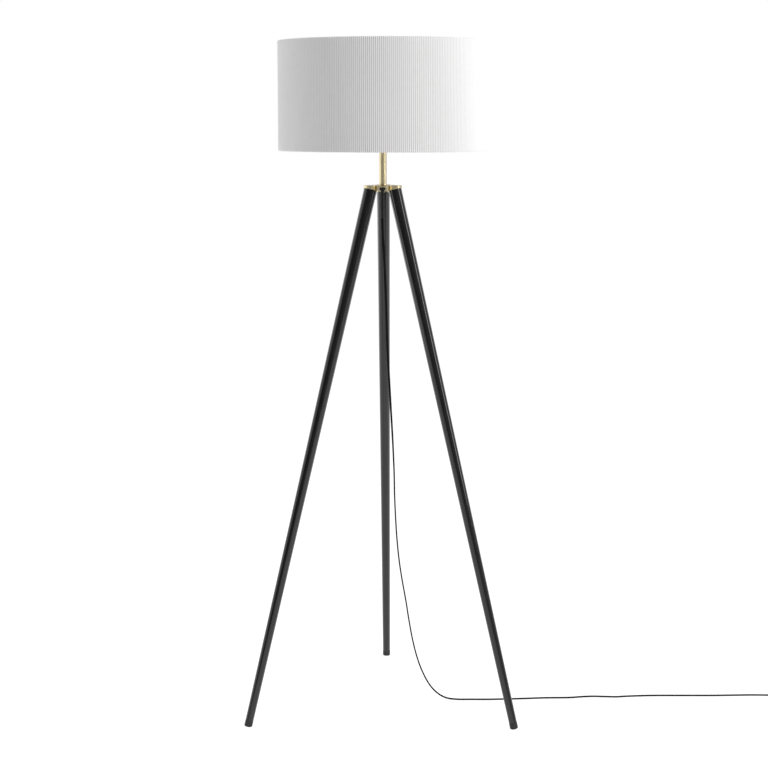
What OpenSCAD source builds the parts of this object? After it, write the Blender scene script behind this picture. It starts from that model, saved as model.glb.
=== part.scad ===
// Tripod floor lamp: a pleated drum shade on a brass stem and hub, carried by three tapered legs.
// Millimetres, +Z up. The floor is z = 0, and the origin lies under the middle of the lamp's own box.

/* [Overall] */
// Height of the shade's upper edge above the floor
lamp_h = 1460; // [1210:1:1760]
// Distance from the lamp's axis to the middle of each foot
foot_r = 330; // [270:1:400]
// Length of stem between the hub and the shade's lower edge
stem_show = 73.5; // [50:0.5:110]

/* [Shade] */
// Outer diameter of the shade, over its pleats
shade_d = 450; // [370:1:540]
// Height of the shade
shade_h = 232; // [190:1:280]
// Depth of the pleated fabric
pleat_t = 2.4; // [1.5:0.1:4]
// Wall of the stiff liner behind the fabric
liner_t = 0.8; // [0.5:0.1:1.2]
// Bare rim of the liner inside each edge of the fabric
liner_inset = 1; // [0.5:0.5:3]
// Wire of the shade's two hoops
hoop_wire_d = 4; // [3:0.5:5]
// Wire of the three spokes
spoke_d = 3.5; // [2.5:0.5:4]
// Height of the fitter ring above the shade's lower edge
fitter_rise = 55; // [45:1:60]
// Thickness of the fitter ring
fitter_t = 1.6; // [1:0.1:3]
// Outer diameter of the fitter ring
fitter_d = 64; // [60:1:80]

/* [Hub] */
// Width of the hub across two leg sockets, and twice the reach of its front boss
hub_d = 82; // [80:1:100]
// Diameter of the round body between the sockets
hub_core_d = 52; // [44:1:58]
// Width of the front boss that the cord leaves through
boss_w = 17; // [16:0.5:20]
// Thickness of the hub at its middle, before the cavity
hub_t = 17.5; // [15:0.5:24]
// Depth of the boss's top below the hub's top
boss_drop = 1.2; // [0.5:0.1:2]
// Diameter of the wiring cavity under the hub
cavity_d = 26; // [22:1:30]
// Web left above the cavity, which the rod is screwed through
hub_web = 3.4; // [3:0.1:5]
// Thickness of the cavity's cover
cover_t = 1.6; // [1:0.1:2.5]
// Ledge that the cover rests against
cover_ledge = 1; // [0.5:0.1:1.5]
// Depth of the cover's outer face above the hub's lowest point
cover_inset = 2.1; // [1.5:0.1:4]

/* [Legs] */
// Diameter of a leg at its top
leg_top_d = 28.2; // [22:0.1:32]
// Diameter of a leg at the floor
leg_foot_d = 17.2; // [12:0.1:20]
// Distance from the lamp's axis to the middle of a leg's top
leg_top_r = 30.5; // [29:0.5:36]
// Rounding of a leg's upper edge
leg_edge_r = 0.8; // [0.3:0.1:2]
// Length of a foot glide along the leg
glide_h = 14; // [8:1:25]
// Rounding of a glide's lower edge
glide_round = 2.5; // [1:0.1:4]
// Length of a glide beyond the leg's axis at the floor, cut off flat
glide_sink = 0.4; // [0.2:0.1:1]
// Diameter of a glide's spigot
spigot_d = 8; // [5:0.1:9]
// Length of a glide's spigot
spigot_l = 11; // [6:1:20]
// Diameter of the leg studs
stud_d = 8; // [6:1:10]
// Length of a stud inside the hub
stud_in_hub = 6.2; // [5:0.1:8]
// Length of a stud inside the leg
stud_in_leg = 25; // [15:1:40]
// Outer diameter of the leg's threaded insert
insert_d = 12; // [11:0.5:16]
// Length of the leg's threaded insert
insert_l = 28; // [18:1:45]

/* [Stem and lampholder] */
// Outer diameter of the stem tube
stem_d = 16; // [14:0.5:22]
// Wall of the stem tube
stem_wall = 1; // [0.8:0.1:2]
// Outer diameter of the hollow threaded rod
rod_d = 10; // [8:1:12]
// Bore of the hollow threaded rod
rod_bore = 7; // [6.6:0.1:7.5]
// Length of rod below the locknut
rod_tail = 0.6; // [0.3:0.1:2]
// Thickness of the locknut
nut_h = 3; // [2:0.5:5]
// Width across the locknut's flats
nut_af = 14; // [13:0.5:17]
// Height of the stem's upper end above the shade's lower edge
holder_rise = 8; // [4:1:12]
// Outer diameter of the lampholder's cup
cup_d = 38; // [36:1:39]
// Height of the lampholder's cup
cup_h = 28; // [26:1:34]
// Wall of the lampholder's cup and sleeve
cup_wall = 2; // [1.5:0.1:2.5]
// Floor of the lampholder's cup
cup_floor = 3; // [2:0.5:4]
// Diameter of the threaded boss inside the cup
boss_d = 16; // [14:1:18]
// Height of the boss above the cup's floor
boss_h = 5; // [3:0.5:6]
// Height of the lampholder's sleeve above the cup
sleeve_h = 36; // [32:1:44]
// Outer diameter of the sleeve's thread
sleeve_d = 39.8; // [39:0.1:41]
// Outer diameter of the two shade rings
ring_d = 54; // [48:1:58]
// Thickness of a shade ring
ring_h = 5; // [4:0.5:8]
// Thickness of the ceramic core
core_h = 10; // [8:0.5:14]
// Part of the core that stands in the sleeve
core_up = 4; // [2:0.5:6]
// Length of the screw shell
shell_h = 27; // [24:0.5:29]
// Wall of the screw shell
shell_wall = 0.8; // [0.5:0.1:1.2]
// Diameter of the terminal screws
terminal_d = 4; // [3:0.5:5]
// Distance of the terminal screws from the axis
terminal_r = 10; // [9:0.5:12]

/* [Switch] */
// Diameter of the push bar
bar_d = 5; // [4:0.5:6]
// Travel of the push bar
bar_travel = 5; // [3:0.5:6]
// Distance of the push bar behind the lamp's axis
bar_back = 10; // [9.5:0.5:11]
// Height of the push bar above the cup's base
bar_up = 15.5; // [14:0.5:17]
// Diameter of the buttons on the push bar
button_d = 8; // [6:0.5:9]
// Length of each button
button_l = 6; // [4:0.5:10]
// Gap between the pressed button and the cup
button_gap = 0.5; // [0.4:0.1:1]
// Width of the switch block along the bar
block_w = 16; // [12:0.5:16.5]
// Depth of the switch block
block_d = 9; // [8:0.5:10]
// Height of the switch block
block_h = 11; // [9:0.5:11.5]

/* [Bulb] */
// Diameter of the bulb's screw cap
cap_d = 26.4; // [26:0.1:27]
// Height of the bulb's metal cap
cap_h = 20; // [18:0.5:23]
// Diameter of the bulb's globe
globe_d = 60; // [50:1:68]
// Height of the bulb above its contact
bulb_h = 108; // [96:1:125]
// Wall of the globe
globe_wall = 1.2; // [0.8:0.1:2]
// Height at which the globe is seated, below its middle
globe_seat = 9; // [5:0.5:14]

/* [Cord] */
// Width of the flat cord
cord_w = 5.4; // [4.5:0.1:7]
// Thickness of the flat cord
cord_t = 3.2; // [2.5:0.1:4.5]
// Width of the strain relief's flange
gland_w = 13; // [11:0.5:16]
// Height of the strain relief's flange
gland_h = 7.2; // [6:0.1:9]
// Thickness of the strain relief's flange
gland_t = 1.5; // [1:0.1:3]
// Diameter of the strain relief where it bends down
relief_d = 7.2; // [6:0.1:9]
// Diameter of the strain relief at its lower end
relief_end_d = 6.2; // [5.6:0.1:7]
// Height of the strain relief's middle below the hub's top
gland_drop = 6.8; // [6.6:0.1:8]
// Radius of the strain relief's bend
relief_bend = 5; // [4.6:0.1:8]
// Middle diameter of the coil
coil_d = 60; // [54:1:66]
// Width of the coil's ring
coil_w = 14.4; // [8:0.1:16]
// Height of the coil
coil_h = 11.4; // [8:0.1:16]
// Thickness of the tie around the coil
tie_t = 1.2; // [0.8:0.1:2]
// Width of the tie around the coil
tie_w = 6; // [4:0.5:12]

/* [Plug] */
// Width of the plug at its pin face
plug_w = 35; // [30:1:40]
// Width of the plug at its cord end
plug_rear_w = 18; // [14:1:24]
// Thickness of the plug
plug_t = 13.8; // [12:0.2:18]
// Length of the plug's body
plug_l = 36; // [30:1:44]
// Rounding of the plug's corners
plug_round = 4; // [2:0.5:6]
// Diameter of the pins
pin_d = 4; // [3.8:0.1:5]
// Length of the pins outside the plug
pin_l = 19; // [17:0.5:20]
// Distance between the pins
pin_pitch = 19; // [17:0.5:20]
// Diameter of the plug's boot where it meets the body
boot_d = 10; // [8:0.5:12]
// Diameter of the plug's boot where the cord enters
boot_end_d = 6.6; // [5.8:0.1:8]
// Length of the plug's boot
boot_l = 24; // [20:1:40]

/* [Fits] */
// Radial clearance of pieces that are pushed or screwed together
fit = 0.05; // [0.02:0.01:0.1]
// Gap between pieces that lie close without touching
gap = 0.1; // [0.05:0.05:0.3]
// Gap under the bulb's contact
contact_gap = 0.3; // [0.2:0.05:0.5]
// Radial clearance of the bulb's cap in the screw shell
cap_fit = 0.08; // [0.05:0.01:0.1]
// Gap between the tie and the coil's curved sides
tie_gap = 0.3; // [0.2:0.05:0.6]
// Gap between the lampholder's rim and the part of the bulb that widens above it
neck_gap = 1; // [0.5:0.1:3]

/* [Hidden] */
$fn = 96;

// Directions of the legs, seen from above
left_az = 210;
right_az = 330;
rear_az = 90;
leg_az = [left_az, right_az, rear_az];
front_az = 270;

// Heights
shade_z = lamp_h - shade_h;
hub_z = shade_z - stem_show;
hub_mid_z = hub_z - hub_t;
holder_z = shade_z + holder_rise;
fitter_z = shade_z + fitter_rise;

// Slope of the legs: each seat under the hub is square to its leg and meets the others at the axis
seat_slope = (sqrt(hub_mid_z * hub_mid_z + 4 * leg_top_r * (foot_r - leg_top_r)) - hub_mid_z)
           / (2 * leg_top_r);
leg_tilt = atan(seat_slope);
seat_z = hub_mid_z + leg_top_r * seat_slope;
socket_r = hub_d / 2 - leg_top_r * cos(30);
leg_l = seat_z / cos(leg_tilt);

// The lamp's axis is set forward so that the middle of the lamp's box is the origin
glide_r = leg_foot_d / 2;
rear_reach = foot_r + (glide_r - glide_round) * cos(leg_tilt)
           - (glide_round - glide_sink) * sin(leg_tilt) + glide_round;
front_reach = shade_d / 2;
axis_y = (front_reach - rear_reach) / 2;

// Hub
web_z = hub_z - hub_web;
cover_z = hub_mid_z + cover_inset;
gland_z = hub_z - gland_drop;

// Rod and lampholder
rod_low = web_z - nut_h - rod_tail;
boss_top = holder_z + cup_floor + boss_h;
cup_top = holder_z + cup_h;
core_top = cup_top + core_up;
core_z = core_top - core_h;
sleeve_top = cup_top + sleeve_h;
cup_in_r = cup_d / 2 - cup_wall;
shell_in_r = cap_d / 2 + cap_fit;
shell_out_r = shell_in_r + shell_wall;
sleeve_in_r = shell_out_r + fit;
contact_h = 1;
bar_z = holder_z + bar_up;
button_reach = sqrt(pow(cup_d / 2, 2) - pow(bar_back - button_d / 2, 2)) + button_gap;

// Bulb
tip_z = core_top + contact_h + contact_gap;
tip_h = 1.5;
tip_r = 4.6;
insulator_h = 4;
insulator_r = 9.4;
cap_z = tip_z + tip_h + insulator_h;
cap_shoulder = 2.4;
housing_z = cap_z + cap_h;
neck_z = sleeve_top + neck_gap;
globe_z = tip_z + bulb_h - globe_d / 2;
globe_low = globe_z - globe_seat;
globe_low_r = sqrt(pow(globe_d / 2, 2) - pow(globe_seat, 2));
board_t = 1.6;

// Shade
shade_r = shade_d / 2;
liner_r = shade_r - pleat_t - gap;
hoop_r = liner_r - liner_t - gap - hoop_wire_d / 2;
hoop_low_z = shade_z + liner_inset + hoop_wire_d / 2;
hoop_up_z = lamp_h - liner_inset - hoop_wire_d / 2;
spoke_in_r = fitter_d / 2 - 2;

// Points along the cord, from the strain relief to the coil: x, y, z, and the direction
// of its width as an azimuth and an elevation. They are taken from the lamp's axis.
flat_z = 1.7;
cord_points = [
  [0, -47.6, 1086, 0, 0], [1, -47.4, 1050, 0, 0], [4, -45, 1000, 5, 0], [7, -42, 930, 15, 0],
  [9, -40, 860, 25, 0], [12, -36, 780, 40, 0], [17, -31, 690, 55, 0], [22, -26, 600, 70, 0],
  [25, -22, 530, 80, 0], [26, -19, 480, 85, 0], [28, -16, 430, 90, 0], [31, -13, 380, 90, 0],
  [36, -10, 328, 90, 0], [43, -7, 280, 90, 0], [51, -4, 234, 90, 0], [58, -1, 188, 90, 0],
  [66, 2, 143, 90, 0], [76, 4, 102, 90, 0], [88, 6, 68, 90, 0], [103, 7, 39, 90, 0],
  [120, 8, 19, 90, 0], [140, 9, 6.5, 90, 0], [165, 11, 2, 90, 0], [200, 12, flat_z, 90, 0],
  [240, 13, flat_z, 90, 0], [305, 19, flat_z, 90, 0], [365, 26, flat_z, 90, 0],
  [417, 29, flat_z, 90, 0], [446, 35, flat_z, 90, 0], [472, 39, flat_z, 90, 0],
  [500, 38, flat_z, 90, 0], [526, 37, flat_z, 90, 0], [553, 42, flat_z, 90, 0],
  [610, 48, flat_z, 90, 0], [680, 50, flat_z, 90, 0], [750, 52, flat_z, 90, 0],
  [826, 57, flat_z, 90, 0], [871, 57.5, flat_z, 90, 0], [897, 57.5, 2.3, 90, 45],
  [920, 57.5, 2.8, 90, 90]
];
// The coil lies at the end of the run; its outer turn is in line with the run
coil_x = 930;
outer_turn_r = coil_d / 2 + coil_w / 2 - cord_t / 2 - 0.35;
coil_y = 57.5 - outer_turn_r;
tail_turn_r = coil_d / 2 + 2;
// The plug lies beside the coil, its pins towards -Y
plug_x = coil_x + tail_turn_r;
plug_z = plug_t / 2;
boot_y = -14;
tail_points = [
  [plug_x, 5, 8.3, 90, 90], [plug_x, -1, 7.9, 90, 90], [plug_x, -7, 7.3, 90, 90],
  [plug_x, boot_y, plug_z, 90, 90]
];
cord_sides = 10;

// Points along the flex inside the lamp, from the cup down the rod and out to the strain relief
flex_top = boss_top + 2;
flex_low = cover_z + cover_t + cord_t / 2 + 0.3;
relief_in_y = -(cavity_d / 2 - 0.5);
flex_points = [
  [0, 0, flex_top, 0, 0], [0, 0, (flex_top + hub_z) / 2, 0, 0], [0, 0, hub_z, 0, 0],
  [0, 0, rod_low + 1, 0, 0], [0, -0.6, rod_low - 1.6, 0, 0], [0, -2.6, flex_low + 0.5, 0, 0],
  [0, -5.4, flex_low, 0, 0], [0, -8.2, flex_low + 0.8, 0, 0],
  [0, relief_in_y + 1.6, gland_z - 0.4, 0, 0], [0, relief_in_y, gland_z, 0, 0]
];

// ---- helpers ----

module on_axis() {
  translate([0, axis_y, 0]) children();
}

// Puts children, drawn upwards from the floor along a leg's own axis, on the leg at azimuth az
module on_leg(az) {
  on_axis() rotate([0, 0, az]) translate([foot_r, 0, 0]) rotate([0, -leg_tilt, 0]) children();
}

module ring(r_out, r_in, h) {
  rotate_extrude() translate([r_in, 0]) square([r_out - r_in, h]);
}

// Straight round rod between two points in the XZ plane
module rod_xz(x1, z1, x2, z2, d) {
  dx = x2 - x1;
  dz = z2 - z1;
  translate([x1, 0, z1]) rotate([0, atan2(dx, dz), 0]) cylinder(h = norm([dx, dz]), d = d);
}

// Oval with flat sides, lying in the XY plane
module slot_2d(w, h) {
  translate([-(w - h) / 2, -h / 2]) square([w - h, h]);
  for (s = [-1, 1]) translate([s * (w - h) / 2, 0]) circle(d = h);
}

// Quarter arc of points about a centre
function arc(cx, cy, r, a1, a2, n = 8) =
  [for (i = [0 : n]) let (a = a1 + (a2 - a1) * i / n) [cx + r * cos(a), cy + r * sin(a)]];

function unit(v) = v / norm(v);
function place(p) = [p[0], p[1], p[2]];
function width_dir(p) = [cos(p[4]) * cos(p[3]), cos(p[4]) * sin(p[3]), sin(p[4])];
function clip(i, n) = max(0, min(n - 1, i));
// Points of the route with one more halfway along each stretch, on a smooth curve
function halfway(pts, i) =
  (9 * (pts[i] + pts[i + 1]) - pts[clip(i - 1, len(pts))] - pts[clip(i + 2, len(pts))]) / 16;
function smooth_route(pts) =
  [for (i = [0 : len(pts) - 1], half = [0, 1]) if (half == 0 || i < len(pts) - 1)
    half == 0 ? pts[i] : halfway(pts, i)];
function along(pts, i) =
  unit(place(pts[clip(i + 1, len(pts))]) - place(pts[clip(i - 1, len(pts))]));
function cord_ring(pts, i, sides) =
  let (t = along(pts, i), raw = width_dir(pts[i]), w = unit(raw - (raw * t) * t), v = cross(t, w))
  [for (k = [0 : sides - 1]) let (a = 360 * k / sides)
    place(pts[i]) + w * cord_w / 2 * cos(a) + v * cord_t / 2 * sin(a)];

// Flat cord swept along a route
module flat_cord(pts, sides = cord_sides) {
  n = len(pts);
  points = [for (i = [0 : n - 1]) each cord_ring(pts, i, sides)];
  walls = [for (i = [0 : n - 2], k = [0 : sides - 1]) let (j = (k + 1) % sides)
    [i * sides + k, (i + 1) * sides + k, (i + 1) * sides + j, i * sides + j]];
  first = [[for (k = [0 : sides - 1]) k]];
  last = [[for (k = [0 : sides - 1]) n * sides - 1 - k]];
  polyhedron(points = points, faces = concat(walls, first, last), convexity = 10);
}

// ---- hub and legs ----

module seat_cut(az) {
  rotate([0, 0, az]) translate([0, 0, hub_mid_z]) rotate([0, -leg_tilt, 0])
    translate([-hub_d, -hub_d, -2 * hub_t]) cube([2 * hub_d, 2 * hub_d, 2 * hub_t]);
}

module stud_hole(az) {
  rotate([0, 0, az]) translate([foot_r, 0, 0]) rotate([0, -leg_tilt, 0])
    translate([0, 0, leg_l - 1]) cylinder(h = stud_in_hub + 1 + gap, d = stud_d + 2 * fit);
}

module hub() {
  color("palegoldenrod") on_axis() difference() {
    union() {
      translate([0, 0, hub_mid_z]) cylinder(h = hub_t, d = hub_core_d);
      translate([-boss_w / 2, -hub_d / 2, hub_mid_z]) cube([boss_w, hub_d / 2, hub_t - boss_drop]);
      for (az = leg_az) rotate([0, 0, az]) translate([leg_top_r, 0, hub_mid_z])
        cylinder(h = hub_t, r = socket_r);
    }
    for (az = leg_az) seat_cut(az);
    for (az = leg_az) stud_hole(az);
    translate([0, 0, hub_mid_z - 1]) cylinder(h = hub_t + 2, d = rod_d + 2 * fit);
    translate([0, 0, hub_mid_z - 1])
      cylinder(h = web_z - hub_mid_z + 1, d = cavity_d - 2 * cover_ledge);
    translate([0, 0, hub_mid_z - 1])
      cylinder(h = cover_z + cover_t - hub_mid_z + 1, d = cavity_d);
    translate([0, 0, gland_z]) rotate([90, 0, 0])
      linear_extrude(hub_d) slot_2d(gland_w - 2 + 2 * gap, gland_h - 1.6 + 2 * gap);
  }
}

module hub_cover() {
  color("gold") on_axis() translate([0, 0, cover_z]) cylinder(h = cover_t, d = cavity_d - 2 * fit);
}

module leg(az) {
  taper = (leg_top_d - leg_foot_d) / 2 / leg_l;
  r_top = leg_top_d / 2;
  r_low = glide_r + glide_h * taper;
  color("#1c1c1e") on_leg(az) difference() {
    rotate_extrude() polygon(concat(
      [[0, glide_h], [r_low, glide_h]],
      arc(r_top - leg_edge_r, leg_l - leg_edge_r, leg_edge_r, 0, 90, 6),
      [[0, leg_l]]));
    translate([0, 0, leg_l - insert_l - gap]) cylinder(h = insert_l + 1, d = insert_d + 2 * fit);
    translate([0, 0, glide_h - 1]) cylinder(h = spigot_l + 1 + gap, d = spigot_d + 2 * fit);
  }
}

module leg_left() {
  leg(left_az);
}

module leg_right() {
  leg(right_az);
}

module leg_rear() {
  leg(rear_az);
}

module leg_studs() {
  color("silver") for (az = leg_az) on_leg(az)
    translate([0, 0, leg_l - stud_in_leg]) cylinder(h = stud_in_leg + stud_in_hub, d = stud_d);
}

module leg_inserts() {
  color("goldenrod") for (az = leg_az) on_leg(az) translate([0, 0, leg_l - insert_l])
    ring(insert_d / 2, stud_d / 2 + fit, insert_l - gap);
}

module foot(az) {
  taper = (leg_top_d - leg_foot_d) / 2 / leg_l;
  low = glide_round - glide_sink;
  color("#101010") intersection() {
    on_leg(az) {
      rotate_extrude() polygon(concat(
        [[0, -glide_sink]],
        arc(glide_r - glide_round, low, glide_round, -90, 0),
        [[glide_r + glide_h * taper, glide_h], [0, glide_h]]));
      translate([0, 0, glide_h - 1]) cylinder(h = spigot_l + 1, d = spigot_d);
    }
    on_axis() translate([-2 * foot_r, -2 * foot_r, 0]) cube([4 * foot_r, 4 * foot_r, 4 * glide_h]);
  }
}

module foot_left() {
  foot(left_az);
}

module foot_right() {
  foot(right_az);
}

module foot_rear() {
  foot(rear_az);
}

// ---- stem ----

module stem_tube() {
  color("palegoldenrod") on_axis() translate([0, 0, hub_z])
    ring(stem_d / 2, stem_d / 2 - stem_wall, holder_z - hub_z);
}

module stem_rod() {
  color("silver") on_axis() translate([0, 0, rod_low]) ring(rod_d / 2, rod_bore / 2, boss_top - rod_low);
}

module stem_nut() {
  color("silver") on_axis() translate([0, 0, web_z - nut_h]) difference() {
    cylinder(h = nut_h, d = nut_af / cos(30), $fn = 6);
    translate([0, 0, -1]) cylinder(h = nut_h + 2, d = rod_d + 2 * fit);
  }
}

module strain_relief() {
  face_y = -(hub_d / 2 + gap);
  bend_y = face_y - gland_t;
  straight_z = gland_z - relief_bend;
  end_z = cord_points[0][2];
  color("#161616") on_axis() {
    translate([0, relief_in_y, gland_z]) rotate([90, 0, 0])
      linear_extrude(relief_in_y - face_y + 0.5) slot_2d(gland_w - 2, gland_h - 1.6);
    translate([0, face_y, gland_z]) rotate([90, 0, 0])
      linear_extrude(gland_t) slot_2d(gland_w, gland_h);
    translate([0, bend_y, straight_z]) rotate([0, 90, 0]) rotate([0, 0, 180])
      rotate_extrude(angle = 90) translate([relief_bend, 0]) circle(d = relief_d);
    translate([0, bend_y - relief_bend, end_z])
      cylinder(h = straight_z - end_z, d1 = relief_end_d, d2 = relief_d);
  }
}

module inner_flex() {
  color("#202020") on_axis() flat_cord(flex_points);
}

module core_wires() {
  color("sienna") on_axis() for (s = [-1, 1]) translate([s * 1.4, 0, flex_top])
    cylinder(h = core_z - flex_top, d = 2);
}

// ---- lampholder and switch ----

module holder_cup() {
  color("#141414") on_axis() difference() {
    union() {
      translate([0, 0, holder_z]) difference() {
        cylinder(h = cup_h, d = cup_d);
        translate([0, 0, cup_floor]) cylinder(h = cup_h, r = cup_in_r);
      }
      translate([0, 0, holder_z]) cylinder(h = cup_floor + boss_h, d = boss_d);
    }
    translate([0, 0, holder_z - 1]) cylinder(h = cup_h, d = rod_d + 2 * fit);
    translate([-cup_d, bar_back, bar_z]) rotate([0, 90, 0]) cylinder(h = 2 * cup_d, d = bar_d + 2 * fit);
  }
}

module holder_sleeve() {
  seat_h = core_up;
  color("#141414") on_axis() translate([0, 0, cup_top]) difference() {
    cylinder(h = sleeve_h, d = sleeve_d);
    translate([0, 0, -1]) cylinder(h = seat_h + 1, r = cup_in_r);
    translate([0, 0, -1]) cylinder(h = sleeve_h + 2, r = sleeve_in_r);
  }
}

module holder_core() {
  color("ivory") on_axis() difference() {
    translate([0, 0, core_z]) cylinder(h = core_h, r = cup_in_r - fit);
    for (s = [-1, 1]) translate([0, s * terminal_r, core_z - 1])
      cylinder(h = core_h - 2, d = terminal_d + 2 * fit);
  }
}

module screw_shell() {
  color("gold") on_axis() translate([0, 0, core_top]) ring(shell_out_r, shell_in_r, shell_h);
}

module centre_contact() {
  color("gold") on_axis() translate([0, 0, core_top]) cylinder(h = contact_h, r = tip_r);
}

module terminal_screws() {
  color("gold") on_axis() for (s = [-1, 1]) translate([0, s * terminal_r, core_z + 0.5])
    cylinder(h = core_h - 4, d = terminal_d);
}

module switch_block() {
  color("saddlebrown") on_axis() difference() {
    translate([-block_w / 2, bar_back - block_d / 2, bar_z - block_h / 2]) cube([block_w, block_d, block_h]);
    translate([-block_w, bar_back, bar_z]) rotate([0, 90, 0]) cylinder(h = 2 * block_w, d = bar_d + 2 * fit);
  }
}

module push_bar() {
  color("#222222") on_axis() translate([-button_reach - bar_travel, bar_back, bar_z]) rotate([0, 90, 0])
    cylinder(h = 2 * button_reach + bar_travel, d = bar_d);
}

module bar_buttons() {
  color("#222222") on_axis() for (x = [-button_reach - bar_travel - button_l, button_reach])
    translate([x, bar_back, bar_z]) rotate([0, 90, 0]) cylinder(h = button_l, d = button_d);
}

module shade_ring(z) {
  color("#141414") on_axis() translate([0, 0, z]) ring(ring_d / 2, sleeve_d / 2 + fit, ring_h);
}

module shade_ring_lower() {
  shade_ring(fitter_z - ring_h);
}

module shade_ring_upper() {
  shade_ring(fitter_z + fitter_t);
}

// ---- shade ----

module hoop(z) {
  translate([0, 0, z]) rotate_extrude($fn = 128) translate([hoop_r, 0]) circle(d = hoop_wire_d, $fn = 24);
}

module shade_frame() {
  color("white") on_axis() {
    translate([0, 0, fitter_z]) ring(fitter_d / 2, sleeve_d / 2 + 2 * fit, fitter_t);
    for (az = leg_az) rotate([0, 0, az])
      rod_xz(spoke_in_r, fitter_z + fitter_t / 2, hoop_r, hoop_low_z, spoke_d);
    hoop(hoop_low_z);
  }
}

module shade_hoop_upper() {
  color("white") on_axis() hoop(hoop_up_z);
}

module shade_liner() {
  color("white") on_axis() translate([0, 0, shade_z + liner_inset])
    ring(liner_r, liner_r - liner_t, shade_h - 2 * liner_inset, $fn = 128);
}

module shade_fabric() {
  color("white") on_axis() translate([0, 0, shade_z]) ring(shade_r, shade_r - pleat_t, shade_h, $fn = 128);
}

// ---- bulb ----

module bulb_contact() {
  color("silver") on_axis() translate([0, 0, tip_z]) cylinder(h = tip_h, r = tip_r);
}

module bulb_insulator() {
  color("#181818") on_axis() translate([0, 0, tip_z + tip_h])
    cylinder(h = insulator_h, r1 = tip_r, r2 = insulator_r);
}

module bulb_cap() {
  color("silver") on_axis() {
    translate([0, 0, cap_z]) cylinder(h = cap_shoulder, r1 = insulator_r, r2 = cap_d / 2);
    translate([0, 0, cap_z + cap_shoulder]) cylinder(h = cap_h - cap_shoulder, d = cap_d);
  }
}

module bulb_housing() {
  color("white") on_axis() {
    translate([0, 0, housing_z]) cylinder(h = neck_z - housing_z, d = cap_d);
    translate([0, 0, neck_z]) cylinder(h = globe_low - neck_z, r1 = cap_d / 2, r2 = globe_low_r);
  }
}

module bulb_board() {
  color("gainsboro") on_axis() translate([0, 0, globe_low])
    cylinder(h = board_t, r = globe_low_r - globe_wall - 1);
}

module bulb_globe() {
  color("white") on_axis() difference() {
    translate([0, 0, globe_z]) sphere(d = globe_d);
    translate([0, 0, globe_z]) sphere(d = globe_d - 2 * globe_wall);
    translate([-globe_d, -globe_d, globe_low - 2 * globe_d]) cube([2 * globe_d, 2 * globe_d, 2 * globe_d]);
  }
}

// ---- cord and plug ----

module cord_run() {
  color("#161616") on_axis() flat_cord(smooth_route(cord_points));
}

module cord_coil() {
  color("#161616") on_axis() translate([coil_x, coil_y, 0])
    ring(coil_d / 2 + coil_w / 2, coil_d / 2 - coil_w / 2, coil_h);
}

module cord_tie() {
  in_w = coil_w + 2 * tie_gap;
  color("#303030") on_axis() translate([coil_x - coil_d / 2, coil_y, 0]) difference() {
    translate([-in_w / 2 - tie_t, -tie_w / 2, coil_h / 2])
      cube([in_w + 2 * tie_t, tie_w, coil_h / 2 + tie_gap + tie_t]);
    translate([-in_w / 2, -tie_w, 0]) cube([in_w, 2 * tie_w, coil_h + tie_gap]);
  }
}

module cord_tail() {
  color("#161616") on_axis() flat_cord(smooth_route(tail_points));
}

module plug_boot() {
  color("#161616") on_axis() translate([plug_x, boot_y - boot_l, plug_z]) rotate([-90, 0, 0])
    cylinder(h = boot_l, d1 = boot_d, d2 = boot_end_d);
}

module plug_body() {
  rear_y = boot_y - boot_l;
  color("#161616") on_axis() translate([plug_x, 0, 0]) hull() {
    for (s = [-1, 1]) {
      translate([s * (plug_rear_w / 2 - plug_round), rear_y - plug_round, 0])
        cylinder(h = plug_t, r = plug_round, $fn = 32);
      translate([s * (plug_w / 2 - plug_round), rear_y - plug_l / 2, 0])
        cylinder(h = plug_t, r = plug_round, $fn = 32);
      translate([s * plug_w / 2 - (s > 0 ? 1 : 0), rear_y - plug_l, 0]) cube([1, 1, plug_t]);
    }
  }
}

module plug_pins() {
  face_y = boot_y - boot_l - plug_l;
  color("silver") on_axis() for (s = [-1, 1])
    translate([plug_x + s * pin_pitch / 2, face_y, plug_z]) rotate([90, 0, 0]) cylinder(h = pin_l, d = pin_d);
}

hub();
hub_cover();
leg_left();
leg_right();
leg_rear();
leg_studs();
leg_inserts();
foot_left();
foot_right();
foot_rear();
stem_tube();
stem_rod();
stem_nut();
strain_relief();
inner_flex();
core_wires();
holder_cup();
holder_sleeve();
holder_core();
screw_shell();
centre_contact();
terminal_screws();
switch_block();
push_bar();
bar_buttons();
shade_ring_lower();
shade_ring_upper();
shade_frame();
shade_hoop_upper();
shade_liner();
shade_fabric();
bulb_contact();
bulb_insulator();
bulb_cap();
bulb_housing();
bulb_board();
bulb_globe();
cord_run();
cord_coil();
cord_tie();
cord_tail();
plug_boot();
plug_body();
plug_pins();
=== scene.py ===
# %% [markdown]
# # A tripod floor lamp with a pleated shade
#
# This notebook builds the looks of a floor lamp: three slim black legs, a small brass hub and stem,
# and a wide pleated drum shade over one bulb. The exact sizes come from a measured CAD model, called
# the frame here. Every piece that is made below goes where the frame says, in metres, with Z upwards.
# Pieces whose CAD shape is already right keep that shape and get a better finish. Soft pieces, and
# pieces with detail such as threads, pleats and ribs, are modelled again and stand in for their node.

# %% Load the measured frame
import math

import bmesh
import bpy
from mathutils import Matrix, Vector
from mathutils.noise import noise as smooth_noise


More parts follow.
